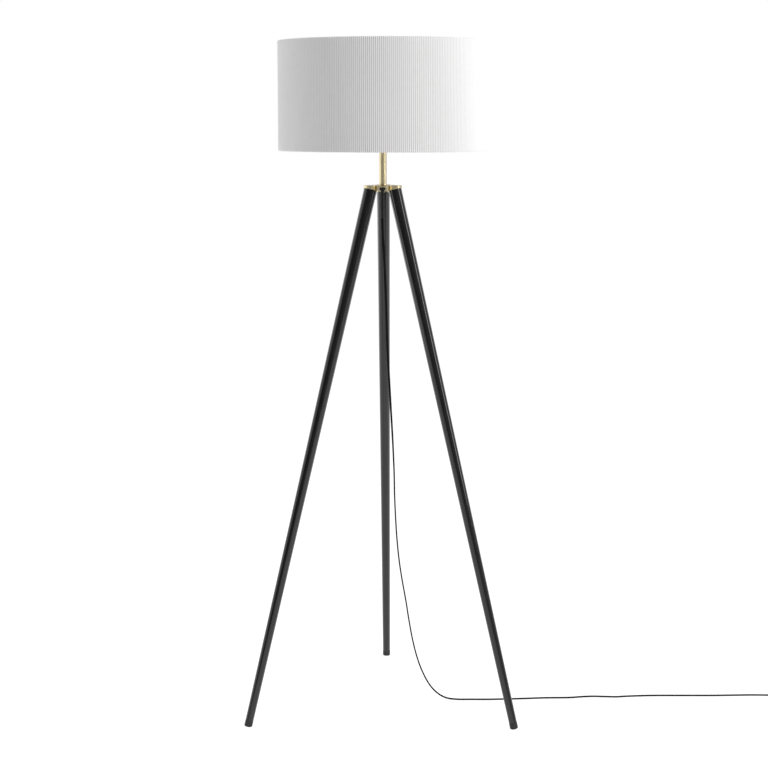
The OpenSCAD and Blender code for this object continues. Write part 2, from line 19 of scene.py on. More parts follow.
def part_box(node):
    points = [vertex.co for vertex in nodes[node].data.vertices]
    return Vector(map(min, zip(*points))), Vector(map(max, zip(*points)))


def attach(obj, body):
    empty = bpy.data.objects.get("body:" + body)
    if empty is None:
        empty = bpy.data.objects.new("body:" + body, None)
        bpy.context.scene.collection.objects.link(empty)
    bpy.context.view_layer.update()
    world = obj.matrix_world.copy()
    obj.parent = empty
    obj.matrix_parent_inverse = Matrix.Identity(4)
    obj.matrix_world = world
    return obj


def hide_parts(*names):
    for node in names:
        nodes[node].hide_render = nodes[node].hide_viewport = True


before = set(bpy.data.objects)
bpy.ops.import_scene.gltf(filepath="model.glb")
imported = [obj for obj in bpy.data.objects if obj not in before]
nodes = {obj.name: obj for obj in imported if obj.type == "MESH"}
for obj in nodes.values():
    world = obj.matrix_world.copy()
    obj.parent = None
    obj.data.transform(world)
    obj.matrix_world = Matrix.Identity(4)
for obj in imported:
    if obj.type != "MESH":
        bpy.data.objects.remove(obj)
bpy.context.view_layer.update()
print("CAD nodes:", len(nodes))

# %% [markdown]
# The stem, hub and shade share one upright axis. It isn't at the origin, because the frame puts the
# middle of the lamp's box there and the rear leg reaches further than the shade. So its place is read
# from the stem's own box, and everything round is turned about it.

# %% Where the lamp's axis is
stem_low, stem_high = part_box("stem_tube")
AXIS = Vector((0, (stem_low.y + stem_high.y) / 2, 0))
print("lamp axis at Y =", round(AXIS.y, 5))

# %% [markdown]
# ## Camera
#
# The camera comes first, because the cord's spare length has to lie just outside what it sees. It is
# a long lens, so the upright lines stay nearly parallel. It stands level with the lower part of the
# shade and looks slightly down, and a small lens shift frames the lamp without tilting it further.

# %% Camera
FOCAL_LENGTH_MM = 78.59
PITCH_DOWN = math.radians(7.373)
PAN_LEFT = math.radians(1.489)
LENS_SHIFT = -0.06
CAMERA_FROM_AXIS = Vector((0.0966, -3.6268, 1.2914))
camera_data = bpy.data.cameras.new("camera")
camera_data.lens = FOCAL_LENGTH_MM
camera_data.sensor_width = 36
camera_data.shift_y = LENS_SHIFT
camera_data.clip_end = 50
camera = bpy.data.objects.new("camera", camera_data)
camera.location = AXIS + CAMERA_FROM_AXIS
camera.rotation_euler = (math.pi / 2 - PITCH_DOWN, 0, PAN_LEFT)
bpy.context.scene.collection.objects.link(camera)
bpy.context.scene.camera = camera
print("camera at", [round(c, 3) for c in camera.location])

# %% [markdown]
# ## Helpers for finishes
#
# A finish is a material made of nodes. Each one starts as a Principled shader with plain numbers on
# its own sockets. Small helpers then add what a real surface has: a little mottling in its colour,
# spots that are duller or glossier, and bumps. They read Object coordinates, which are the lamp's own
# metres, so a pattern keeps its real size on every piece and stays put when a piece moves.

# %% Start a finish
def start_finish(name, colour, roughness, metallic=0.0, **sockets):
    finish = bpy.data.materials.new(name)
    finish.use_nodes = True
    shader = finish.node_tree.nodes["Principled BSDF"]
    shader.inputs["Base Color"].default_value = (*colour, 1)
    shader.inputs["Roughness"].default_value = roughness
    shader.inputs["Metallic"].default_value = metallic
    for socket, value in sockets.items():
        shader.inputs[socket.replace("_", " ")].default_value = value
    return finish


def node_of(finish, kind, **values):
    node = finish.node_tree.nodes.new(kind)
    for key, value in values.items():
        setattr(node, key, value)
    return node


def link(finish, source, target):
    finish.node_tree.links.new(source, target)


def shader_of(finish):
    return finish.node_tree.nodes["Principled BSDF"]


# %% [markdown]
# A pattern's coordinates pass through one Mapping node. Stretching it along Z gives streaks that run
# up a leg; a high scale gives fine grain. A pattern that follows a cord or a pleated cloth reads the
# piece's UV map instead, which is laid out in metres too.

# %% Coordinates and noise
def coordinates(finish, scale=(1, 1, 1), own_uv=False):
    texture = node_of(finish, "ShaderNodeTexCoord")
    mapping = node_of(finish, "ShaderNodeMapping")
    mapping.inputs["Scale"].default_value = scale
    link(finish, texture.outputs["UV" if own_uv else "Object"], mapping.inputs["Vector"])
    return mapping.outputs["Vector"]


def noise_of(finish, size, stretch=(1, 1, 1), detail=3.0, own_uv=False):
    noise = node_of(finish, "ShaderNodeTexNoise")
    noise.inputs["Scale"].default_value = 1 / size
    noise.inputs["Detail"].default_value = detail
    link(finish, coordinates(finish, stretch, own_uv), noise.inputs["Vector"])
    return noise.outputs["Fac"]


# %% Mottled colour, uneven gloss, bumps
def mottle(finish, size, dark, light, stretch=(1, 1, 1), detail=3.0, own_uv=False):
    ramp = node_of(finish, "ShaderNodeValToRGB")
    ramp.color_ramp.elements[0].position = 0.35
    ramp.color_ramp.elements[0].color = (*dark, 1)
    ramp.color_ramp.elements[1].position = 0.65
    ramp.color_ramp.elements[1].color = (*light, 1)
    link(finish, noise_of(finish, size, stretch, detail, own_uv), ramp.inputs["Fac"])
    link(finish, ramp.outputs["Color"], shader_of(finish).inputs["Base Color"])
    return ramp


def uneven_gloss(finish, size, low, high, stretch=(1, 1, 1), detail=4.0, own_uv=False):
    spread = node_of(finish, "ShaderNodeMapRange")
    spread.inputs["From Min"].default_value = 0.3
    spread.inputs["From Max"].default_value = 0.7
    spread.inputs["To Min"].default_value = low
    spread.inputs["To Max"].default_value = high
    link(finish, noise_of(finish, size, stretch, detail, own_uv), spread.inputs["Value"])
    link(finish, spread.outputs["Result"], shader_of(finish).inputs["Roughness"])


def bump(finish, height, depth, strength=0.5):
    relief = node_of(finish, "ShaderNodeBump")
    relief.inputs["Distance"].default_value = depth
    relief.inputs["Strength"].default_value = strength
    link(finish, height, relief.inputs["Height"])
    normal = shader_of(finish).inputs["Normal"]
    if normal.is_linked:
        link(finish, normal.links[0].from_socket, relief.inputs["Normal"])
    link(finish, relief.outputs["Normal"], normal)


def grain(finish, size, depth, strength=0.5, stretch=(1, 1, 1), detail=3.0, own_uv=False):
    bump(finish, noise_of(finish, size, stretch, detail, own_uv), depth, strength)


def bands(finish, pitch, depth, direction="Z", strength=0.5, own_uv=False):
    wave = node_of(finish, "ShaderNodeTexWave", wave_type="BANDS", bands_direction=direction)
    wave.inputs["Scale"].default_value = math.pi / 10 / pitch
    wave.inputs["Distortion"].default_value = 0.4
    wave.inputs["Detail"].default_value = 1
    link(finish, coordinates(finish, own_uv=own_uv), wave.inputs["Vector"])
    bump(finish, wave.outputs["Fac"], depth, strength)
    return wave.outputs["Fac"]


# %% [markdown]
# ## Helpers for shapes
#
# Round pieces are lathe work: half an outline is drawn as a chain of points and spun a full turn about
# the upright axis. The spin merges its first and last row, the points that lie on the axis are merged
# too, and then all faces are turned to point outwards. Corners sharper than 35 degrees stay crisp.

# %% Finish a piece
def make_piece(name, work, finish, body="root", instead_of=(), crease=35):
    bmesh.ops.remove_doubles(work, verts=work.verts, dist=1e-6)
    bmesh.ops.recalc_face_normals(work, faces=work.faces)
    mesh = bpy.data.meshes.new(name)
    work.to_mesh(mesh)
    work.free()
    mesh.materials.append(finish)
    mesh.shade_smooth()
    mesh.set_sharp_from_angle(angle=math.radians(crease))
    piece = bpy.data.objects.new(name, mesh)
    bpy.context.scene.collection.objects.link(piece)
    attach(piece, body)
    if instead_of:
        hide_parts(*instead_of)
    print(name, "faces:", len(mesh.polygons))
    return piece


def spin_outline(work, outline, steps=96, closed=False):
    points = [work.verts.new((radius, 0, height)) for radius, height in outline]
    pairs = list(zip(points, points[1:]))
    if closed:
        pairs.append((points[-1], points[0]))
    chain = [work.edges.new(pair) for pair in pairs]
    bmesh.ops.spin(
        work, geom=points + chain, cent=(0, 0, 0), axis=(0, 0, 1), angle=2 * math.pi,
        steps=steps, use_merge=True,
    )
    bmesh.ops.remove_doubles(work, verts=work.verts, dist=1e-6)


def move(work, offset, verts=None):
    bmesh.ops.translate(work, vec=offset, verts=verts or work.verts)


def add_part(work, part):
    mesh = bpy.data.meshes.new("part")
    part.to_mesh(mesh)
    part.free()
    work.from_mesh(mesh)
    bpy.data.meshes.remove(mesh)


def paint(node_name, finish):
    mesh = nodes[node_name].data
    if not mesh.materials:
        mesh.materials.append(finish)
    for place in range(len(mesh.materials)):
        mesh.materials[place] = finish


# %% [markdown]
# ## Cord
#
# The lead is a flat twin flex, 5.4 mm wide and 3.2 mm thick, so it bends easily over its flat side
# and stiffly over its edge. It leaves the hub through a moulded strain relief, hangs down between the
# legs, twists slowly a quarter turn so that it can curve, and meets the floor in a slack bow. From
# there it runs out to the right. The rest of its three metres is wound in a coil beside its plug.
#
# A curve object with a round bevel can't be flat, so an oval is swept in code along a smooth route.
# Each route point also says which way the wide side faces, as an azimuth and an elevation.

# %% The cord's route
CORD_WIDTH = 0.0054
CORD_THICK = 0.0032
FLOOR_Z = 0.0017
CORD_RUN = [
    (0, -0.0476, 1.086, 0, 0), (0.001, -0.0474, 1.05, 0, 0), (0.004, -0.045, 1.0, 5, 0),
    (0.007, -0.042, 0.93, 15, 0), (0.009, -0.04, 0.86, 25, 0), (0.012, -0.036, 0.78, 40, 0),
    (0.017, -0.031, 0.69, 55, 0), (0.022, -0.026, 0.6, 70, 0), (0.025, -0.022, 0.53, 80, 0),
    (0.026, -0.019, 0.48, 85, 0), (0.028, -0.016, 0.43, 90, 0), (0.031, -0.013, 0.38, 90, 0),
    (0.036, -0.01, 0.328, 90, 0), (0.043, -0.007, 0.28, 90, 0), (0.051, -0.004, 0.234, 90, 0),
    (0.058, -0.001, 0.188, 90, 0), (0.066, 0.002, 0.143, 90, 0), (0.076, 0.004, 0.102, 90, 0),
    (0.088, 0.006, 0.068, 90, 0), (0.103, 0.007, 0.039, 90, 0), (0.12, 0.008, 0.019, 90, 0),
    (0.14, 0.009, 0.0065, 90, 0), (0.165, 0.011, 0.002, 90, 0), (0.2, 0.012, FLOOR_Z, 90, 0),
    (0.24, 0.013, FLOOR_Z, 90, 0), (0.305, 0.019, FLOOR_Z, 90, 0), (0.365, 0.026, FLOOR_Z, 90, 0),
    (0.417, 0.029, FLOOR_Z, 90, 0), (0.446, 0.035, FLOOR_Z, 90, 0), (0.472, 0.039, FLOOR_Z, 90, 0),
    (0.5, 0.038, FLOOR_Z, 90, 0), (0.526, 0.037, FLOOR_Z, 90, 0), (0.553, 0.042, FLOOR_Z, 90, 0),
    (0.61, 0.048, FLOOR_Z, 90, 0), (0.68, 0.05, FLOOR_Z, 90, 0), (0.75, 0.052, FLOOR_Z, 90, 0),
    (0.826, 0.057, FLOOR_Z, 90, 0), (0.871, 0.0575, FLOOR_Z, 90, 0),
    (0.897, 0.0575, 0.0023, 90, 45),
]

# %% [markdown]
# The coil has four turns side by side on the floor and two more on top of them, each a little more
# than the cord's thickness from the next. The cord stands on its narrow side there, which is how a
# flat flex likes to be wound. The route works inwards, climbs, comes out again, and leaves for the
# plug with its last point in the mouth of the plug's boot.

# %% The coil and the end at the plug
COIL_MIDDLE = Vector((0.93, 0.02225))
OUTER_TURN = 0.03525
INNER_TURN = 0.02475
LEAVING_TURN = 0.032
LAYER_1 = 0.0028
LAYER_2 = 0.0084
CLIMB_FROM, CLIMB_TO, LAST_TURN = 3.0, 3.3, 5.25
STEPS_PER_TURN = 36


def coil_point(turn):
    if turn <= CLIMB_FROM:
        radius = OUTER_TURN + (INNER_TURN - OUTER_TURN) * turn / CLIMB_FROM
        height = LAYER_1
    elif turn <= CLIMB_TO:
        part = (turn - CLIMB_FROM) / (CLIMB_TO - CLIMB_FROM)
        radius = INNER_TURN - 0.0004 * math.sin(math.pi * part)
        height = LAYER_1 + (LAYER_2 - LAYER_1) * (1 - math.cos(math.pi * part)) / 2
    else:
        part = (turn - CLIMB_TO) / (LAST_TURN - CLIMB_TO)
        radius = INNER_TURN + (LEAVING_TURN - INNER_TURN) * part
        height = LAYER_2
    angle = math.pi / 2 - 2 * math.pi * turn
    across = COIL_MIDDLE.x + radius * math.cos(angle)
    along = COIL_MIDDLE.y + radius * math.sin(angle)
    return (across, along, height, 90, 90)


coil_steps = int(LAST_TURN * STEPS_PER_TURN)
COIL = [coil_point(step / STEPS_PER_TURN) for step in range(coil_steps + 1)]
PLUG_X = COIL_MIDDLE.x + LEAVING_TURN
PLUG_Z = 0.0069
CORD_END = [
    (PLUG_X, 0.012, LAYER_2, 90, 90), (PLUG_X, 0.005, 0.0083, 90, 90),
    (PLUG_X, -0.001, 0.0079, 90, 90), (PLUG_X, -0.007, 0.0073, 90, 90),
    (PLUG_X, -0.014, PLUG_Z, 90, 90), (PLUG_X, -0.02, PLUG_Z, 90, 90),
]
print("coil points:", len(COIL))


# %% [markdown]
# The route's points are joined by a smooth curve through all of them, which also blends the direction
# of the wide side. An oval ring of sixteen points is placed at each step, square to the route, and
# rings next to each other are bridged. The UV map runs along the cord in metres, for its finish.

# %% Sweep an oval along a route
def smooth_through(points, step):
    route = []
    for i in range(len(points) - 1):
        before = points[max(i - 1, 0)]
        start, end = points[i], points[i + 1]
        after = points[min(i + 2, len(points) - 1)]
        pieces = max(1, round((Vector(end[:3]) - Vector(start[:3])).length / step))
        for k in range(pieces):
            t = k / pieces
            route.append([
                0.5 * (2 * b + (c - a) * t + (2 * a - 5 * b + 4 * c - d) * t * t
                       + (3 * b - a - 3 * c + d) * t ** 3)
                for a, b, c, d in zip(before, start, end, after)
            ])
    route.append(list(points[-1]))
    return route


def sweep_oval(work, route, width, thick, sides=16):
    places = [Vector(point[:3]) + AXIS for point in route]
    uv = work.loops.layers.uv.new("UVMap")
    rings = []
    travelled = [0.0]
    for i, place in enumerate(places):
        ahead = (places[min(i + 1, len(places) - 1)] - places[max(i - 1, 0)]).normalized()
        azimuth, elevation = (math.radians(v) for v in route[i][3:5])
        wide = Vector((
            math.cos(elevation) * math.cos(azimuth),
            math.cos(elevation) * math.sin(azimuth),
            math.sin(elevation),
        ))
        wide = (wide - ahead * wide.dot(ahead)).normalized()
        thin = ahead.cross(wide)
        ring = []
        for k in range(sides):
            turn = 2 * math.pi * k / sides
            flat = math.copysign(abs(math.cos(turn)) ** 0.85, math.cos(turn))
            steep = math.copysign(abs(math.sin(turn)) ** 0.7, math.sin(turn))
            ring.append(work.verts.new(place + wide * width / 2 * flat + thin * thick / 2 * steep))
        rings.append(ring)
        if i:
            travelled.append(travelled[-1] + (place - places[i - 1]).length)
    for i in range(len(rings) - 1):
        for k in range(sides):
            j = (k + 1) % sides
            face = work.faces.new((rings[i][k], rings[i + 1][k], rings[i + 1][j], rings[i][j]))
            corners = ((i, k), (i + 1, k), (i + 1, k + 1), (i, k + 1))
            for loop, (row, column) in zip(face.loops, corners):
                loop[uv].uv = (travelled[row], column * 0.001)
    work.faces.new(rings[0])
    work.faces.new(list(reversed(rings[-1])))
    return places, travelled[-1]


# %% [markdown]
# The jacket is black PVC. It is extruded, so it has very fine lines along its length, a soft gloss and
# a few duller patches where it has been handled. A plain black would look like a drawn line.

# %% Black cord jacket
jacket = start_finish("cord_jacket", (0.006, 0.006, 0.0065), 0.6, Specular_IOR_Level=0.2, IOR=1.25)
mottle(jacket, 0.02, (0.005, 0.005, 0.0055), (0.008, 0.008, 0.0085), own_uv=True)
uneven_gloss(jacket, 0.012, 0.5, 0.68, stretch=(0.3, 3, 1), own_uv=True)
grain(jacket, 0.0006, 0.00006, 0.4, stretch=(0.1, 1, 1), own_uv=True)

# %% The cord itself
cord_route = smooth_through(CORD_RUN + COIL, 0.006)[:-1] + smooth_through([COIL[-1]] + CORD_END, 0.004)
cord_work = bmesh.new()
cord_places, cord_length = sweep_oval(cord_work, cord_route, CORD_WIDTH, CORD_THICK)
cord = make_piece(
    "lead", cord_work, jacket,
    instead_of=("cord_run", "cord_coil", "cord_tail"), crease=60,
)
print("cord outside the lamp:", round(cord_length, 3), "m in", len(cord_places), "rings")

# %% [markdown]
# ## Plug
#
# A plain two-pin plug is moulded on the end. Its body is a rounded wedge, wide at the pins and narrow
# at the cord, with three finger grooves on each flat side. The boot is ribbed, so that it bends a
# little at every rib and the cord never kinks. Only the tips of the pins are bare metal.

# %% Black moulded plastic
black_plastic = start_finish("black_plastic", (0.005, 0.005, 0.0055), 0.45,
                             Specular_IOR_Level=0.25)
mottle(black_plastic, 0.015, (0.004, 0.004, 0.0045), (0.007, 0.007, 0.0075))
uneven_gloss(black_plastic, 0.006, 0.38, 0.52)
grain(black_plastic, 0.0004, 0.00005, 0.5)

# %% Plug body
BODY_BACK = -0.038
BODY_LENGTH = 0.036
BODY_FRONT = BODY_BACK - BODY_LENGTH
plug_sections = [
    (BODY_BACK, 0.0085, 0.0046), (BODY_BACK - 0.002, 0.0098, 0.0058),
    (BODY_BACK - 0.006, 0.0112, 0.0064), (BODY_BACK - 0.014, 0.0132, 0.0066),
    (BODY_BACK - 0.022, 0.0152, 0.00675), (BODY_BACK - 0.029, 0.0168, 0.0069),
    (BODY_FRONT + 0.0012, 0.01745, 0.0069), (BODY_FRONT, 0.0166, 0.0061),
]
plug_work = bmesh.new()
loops = []
for place_y, half_width, half_height in plug_sections:
    ring = bmesh.ops.create_circle(plug_work, segments=40, radius=1)["verts"]
    for vert in ring:
        across, up = vert.co.x, vert.co.y
        rounded_x = math.copysign(abs(across) ** 0.42, across)
        rounded_z = math.copysign(abs(up) ** 0.42, up)
        vert.co = (
            PLUG_X + half_width * rounded_x, AXIS.y + place_y, PLUG_Z + half_height * rounded_z,
        )
    loops.append([e for e in plug_work.edges if all(v in ring for v in e.verts)])
bmesh.ops.contextual_create(plug_work, geom=loops[0])
bmesh.ops.contextual_create(plug_work, geom=loops[-1])
for first, second in zip(loops, loops[1:]):
    bmesh.ops.bridge_loops(plug_work, edges=first + second)
plug_body = make_piece(
    "plug_grip", plug_work, black_plastic, instead_of=("plug_body",),
)

# %% Ribbed boot
boot_outline = [(0.0, 0.0)]
for rib in range(6):
    start = 0.0026 + rib * 0.0036
    radius = 0.005 - 0.0017 * (start / 0.024)
    boot_outline += [
        (radius, start - 0.0022 if rib else 0.0), (radius, start),
        (radius - 0.0009, start + 0.0003), (radius - 0.0009, start + 0.0011),
    ]
boot_outline += [(0.0033, 0.0226), (0.0033, 0.0235), (0.0029, 0.024), (0.0, 0.024)]
boot_work = bmesh.new()
spin_outline(boot_work, boot_outline, steps=32)
bmesh.ops.rotate(boot_work, cent=(0, 0, 0), matrix=Matrix.Rotation(-math.pi / 2, 3, "X"),
                 verts=boot_work.verts)
move(boot_work, AXIS + Vector((PLUG_X, BODY_BACK, PLUG_Z)))
plug_boot = make_piece(
    "plug_ribs", boot_work, black_plastic, instead_of=("plug_boot",),
)

# %% [markdown]
# The pins are turned brass with a bright nickel coat. The half next to the plug wears a black sleeve,
# so that a finger can't touch live metal while the plug is pulled out. The tips are rounded.

# %% Nickel
nickel = start_finish("nickel", (0.62, 0.6, 0.56), 0.24, 1.0)
mottle(nickel, 0.01, (0.56, 0.54, 0.5), (0.66, 0.64, 0.6))
uneven_gloss(nickel, 0.004, 0.18, 0.34)
grain(nickel, 0.0008, 0.00002, 0.3)

# %% Plug pins
PIN_RADIUS = 0.002
PIN_LENGTH = 0.019
PIN_OFFSET = 0.0095
pin_work = bmesh.new()
sleeve_work = bmesh.new()
pin_outline = [
    (0, 0.009), (PIN_RADIUS - 0.0002, 0.009), (PIN_RADIUS - 0.0001, 0.0095),
    (PIN_RADIUS, 0.0102), (PIN_RADIUS, 0.0176), (PIN_RADIUS - 0.0004, 0.0184),
    (PIN_RADIUS - 0.0011, 0.0189), (0, PIN_LENGTH),
]
sleeve_outline = [(0, -0.001), (PIN_RADIUS - 0.0001, -0.001), (PIN_RADIUS - 0.0001, 0.0096),
                  (PIN_RADIUS - 0.0003, 0.0099), (0, 0.0099)]
for side in (-1, 1):
    for work, outline in ((pin_work, pin_outline), (sleeve_work, sleeve_outline)):
        part = bmesh.new()
        spin_outline(part, outline, steps=24)
        bmesh.ops.rotate(part, cent=(0, 0, 0), matrix=Matrix.Rotation(math.pi / 2, 3, "X"),
                         verts=part.verts)
        move(part, AXIS + Vector((PLUG_X + side * PIN_OFFSET, BODY_FRONT, PLUG_Z)))
        add_part(work, part)
plug_pins = make_piece(
    "plug_tips", pin_work, nickel, instead_of=("plug_pins",),
)
pin_sleeves = make_piece("pin_sleeves", sleeve_work, black_plastic)

# %% [markdown]
# ## Tie
#
# A short strap of woven nylon holds the coil. It is a rounded band, bent into a flat loop around the
# turns.

# %% Tie strap
strap_finish = start_finish("strap_weave", (0.02, 0.02, 0.021), 0.8, Sheen_Weight=0.3)
bands(strap_finish, 0.0008, 0.0001, "Y")
grain(strap_finish, 0.0004, 0.00008, 0.6)
STRAP_WIDTH = 0.006
STRAP_THICK = 0.001
strap_work = bmesh.new()
band = bmesh.ops.create_circle(strap_work, segments=48, radius=1)["verts"]
half_w, half_h = 0.0079, 0.0061
for vert in band:
    across = math.copysign(abs(vert.co.x) ** 0.35, vert.co.x)
    up = math.copysign(abs(vert.co.y) ** 0.35, vert.co.y)
    vert.co = (across * half_w, -STRAP_WIDTH / 2, up * half_h)
sides = bmesh.ops.extrude_edge_only(strap_work, edges=strap_work.edges[:])["geom"]
move(strap_work, (0, STRAP_WIDTH, 0), [g for g in sides if isinstance(g, bmesh.types.BMVert)])
bmesh.ops.recalc_face_normals(strap_work, faces=strap_work.faces)
bmesh.ops.solidify(strap_work, geom=strap_work.faces[:], thickness=-STRAP_THICK)
move(strap_work, AXIS + Vector((COIL_MIDDLE.x - 0.03, COIL_MIDDLE.y, half_h + 0.0005)))
strap = make_piece("coil_strap", strap_work, strap_finish,
                   instead_of=("cord_tie",))

# %% [markdown]
# ## Strain relief
#
# Where the cord leaves the hub it wears a black moulded sleeve. It starts as a flat oval flange on
# the hub's front boss, turns straight down, and tapers to the cord. It bends a little with the cord,
# so it has cross grooves along its lower half. The elbow and the sleeve are rings placed along one
# route, then bridged, which keeps the bend smooth and the taper even.

# %% Strain relief
relief_low, relief_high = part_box("strain_relief")
BOSS_FACE = 0.0411
SLEEVE_TOP_RADIUS = 0.0036
GLAND_Z = relief_high.z - SLEEVE_TOP_RADIUS
BEND = 0.005
relief_work = bmesh.new()
relief_rings = []


def relief_ring(place, normal, half_w, half_t):
    ring = bmesh.ops.create_circle(relief_work, segments=28, radius=1)["verts"]
    across = Vector((1, 0, 0))
    up = normal.cross(across).normalized()
    for vert in ring:
        vert.co = AXIS + place + across * vert.co.x * half_w + up * vert.co.y * half_t
    ring_edges = [e for e in relief_work.edges if e.verts[0] in ring and e.verts[1] in ring]
    relief_rings.append(ring_edges)


outwards = Vector((0, -1, 0))
for depth, half_w, half_t in (
    (-0.026, 0.0055, 0.0028), (0.0, 0.0055, 0.0028), (0.0, 0.0063, 0.0034),
    (0.0003, 0.0065, 0.0036), (0.0011, 0.0065, 0.0036), (0.0015, 0.0061, 0.0033),
    (0.0016, 0.0042, 0.0034), (0.0019, 0.0036, 0.0034),
):
    relief_ring(Vector((0, -BOSS_FACE - depth, GLAND_Z)), outwards, half_w, half_t)
bend_y = -BOSS_FACE - 0.0015
for step in range(1, 9):
    angle = math.pi / 2 * step / 8
    place = Vector((0, bend_y - BEND * math.sin(angle), GLAND_Z - BEND + BEND * math.cos(angle)))
    relief_ring(place, Vector((0, -math.cos(angle), -math.sin(angle))), 0.0036, 0.0036)
sleeve_top_z = GLAND_Z - BEND
sleeve_run = sleeve_top_z - relief_low.z
down = Vector((0, 0, -1))
GROOVES = 8
sleeve_rows = [(0.02, 0.0), (0.30, 0.0)]
for groove in range(GROOVES):
    at = 0.34 + groove * 0.07
    sleeve_rows += [(at, 0.0), (at + 0.008, 0.0007), (at + 0.028, 0.0007), (at + 0.036, 0.0)]
sleeve_rows += [(0.96, 0.0), (0.99, 0.0002), (1.0, 0.0005)]
for part, dent in sleeve_rows:
    radius = 0.0036 - 0.0005 * part - dent
    relief_ring(Vector((0, bend_y - BEND, sleeve_top_z - sleeve_run * part)), down, radius, radius)
for first, second in zip(relief_rings, relief_rings[1:]):
    bmesh.ops.bridge_loops(relief_work, edges=first + second)
bmesh.ops.contextual_create(relief_work, geom=relief_rings[0])
bmesh.ops.contextual_create(relief_work, geom=relief_rings[-1])
strain_relief = make_piece(
    "cord_sleeve", relief_work, black_plastic, instead_of=("strain_relief",),
)

# %% [markdown]
# ## Pleated shade
#
# The shade is one long strip of cloth, pressed into about 345 narrow pleats and wrapped around a stiff
# drum. Each pleat is only 4 mm wide and 2 mm deep. Drawing them as a bump would leave the rim smooth,
# and the rim is where pleats show best, so here they are real folds. A circle with four points for
# each pleat is pushed in and out, and then drawn up to the full height. Pressed cloth is never perfect,
# so every pleat leans and swells a little, by a smooth noise that is the same on each run.

# %% Sizes of the shade
fabric_low, fabric_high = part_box("shade_fabric")
SHADE_RADIUS = fabric_high.x
SHADE_LOW, SHADE_HIGH = fabric_low.z, fabric_high.z
PLEATS = 345
FIRST_FOLD = 0.375
PLEAT_DEPTH = 0.0021
CLOTH = 0.0003
INSIDE_LIMIT = 0.0002
MOST_LEAN = 0.03
MOST_SWELL = 0.0002
RIM_TUCK = 0.0005
pleat_pitch = 2 * math.pi * (SHADE_RADIUS - PLEAT_DEPTH / 2) / PLEATS
print("pleat pitch:", round(pleat_pitch * 1000, 2), "mm")

# %% Pleated cloth
COLUMNS = PLEATS * 4
POINT_IN_PLEAT = ((0.0, 0.0), (0.17, 0.0), (0.5, 1.0), (0.67, 1.0))
ROW_HEIGHTS = (0.0, 0.0008, 0.0022, 0.03, 0.07, 0.116, 0.162, 0.202, 0.2298, 0.2312, 0.232)
developed = 0.0
for (a, low), (b, high) in zip(POINT_IN_PLEAT, POINT_IN_PLEAT[1:] + ((1.0, 0.0),)):
    developed += math.hypot((b - a) * pleat_pitch, (high - low) * PLEAT_DEPTH)
cloth_cut = (round(developed * PLEATS, 3), round(SHADE_HIGH - SHADE_LOW + 0.002, 3))
print("one pleat opens out to", round(developed * 1000, 2), "mm, the cut is", cloth_cut)


def pleated_place(column, row):
    pleat, point = divmod(column % COLUMNS, 4)
    part, ridge = POINT_IN_PLEAT[point]
    height = ROW_HEIGHTS[row]
    lean = MOST_LEAN * smooth_noise(Vector((pleat * 0.9, height * 9, 3)))
    swell = MOST_SWELL * smooth_noise(Vector((pleat * 0.7, height * 7, 11)))
    angle = 2 * math.pi * (FIRST_FOLD + pleat + part + lean) / PLEATS
    radius = SHADE_RADIUS - INSIDE_LIMIT - PLEAT_DEPTH * (1 - ridge) + swell * ridge
    if row in (0, len(ROW_HEIGHTS) - 1):
        radius -= RIM_TUCK * ridge
    return Vector((radius * math.cos(angle), radius * math.sin(angle), SHADE_LOW + height)) + AXIS


cloth_work = bmesh.new()
cloth_uv = cloth_work.loops.layers.uv.new("UVMap")
bmesh.ops.create_grid(
    cloth_work, x_segments=COLUMNS, y_segments=len(ROW_HEIGHTS) - 1, size=1, calc_uvs=True,
)
for face in cloth_work.faces:
    for loop in face.loops:
        across, up = loop.vert.co.x, loop.vert.co.y
        row = round((up + 1) / 2 * (len(ROW_HEIGHTS) - 1))
        loop[cloth_uv].uv = ((across + 1) / 2 * cloth_cut[0], ROW_HEIGHTS[row])
for vert in cloth_work.verts:
    column = round((vert.co.x + 1) / 2 * COLUMNS)
    row = round((vert.co.y + 1) / 2 * (len(ROW_HEIGHTS) - 1))
    vert.co = pleated_place(column, row)

# %% [markdown]
# The cloth is a fine off-white weave. Threads are far too thin to model, so they are two sets of bands
# on the cloth's own UV map, one across and one along, which keep following the folds. A little sheen
# lifts the edges of the folds, and the thread colour changes slightly from place to place.

# %% Off-white pleated cloth finish
pleat_cloth = start_finish("pleated_cloth", (0.84, 0.835, 0.835), 0.9, Sheen_Weight=0.1,
                           Sheen_Roughness=0.5)
tone = mottle(pleat_cloth, 0.012, (0.836, 0.832, 0.832), (0.852, 0.848, 0.85), own_uv=True)
bands(pleat_cloth, 0.0005, 0.00004, "X", 0.3, own_uv=True)
bands(pleat_cloth, 0.0005, 0.00004, "Y", 0.3, own_uv=True)
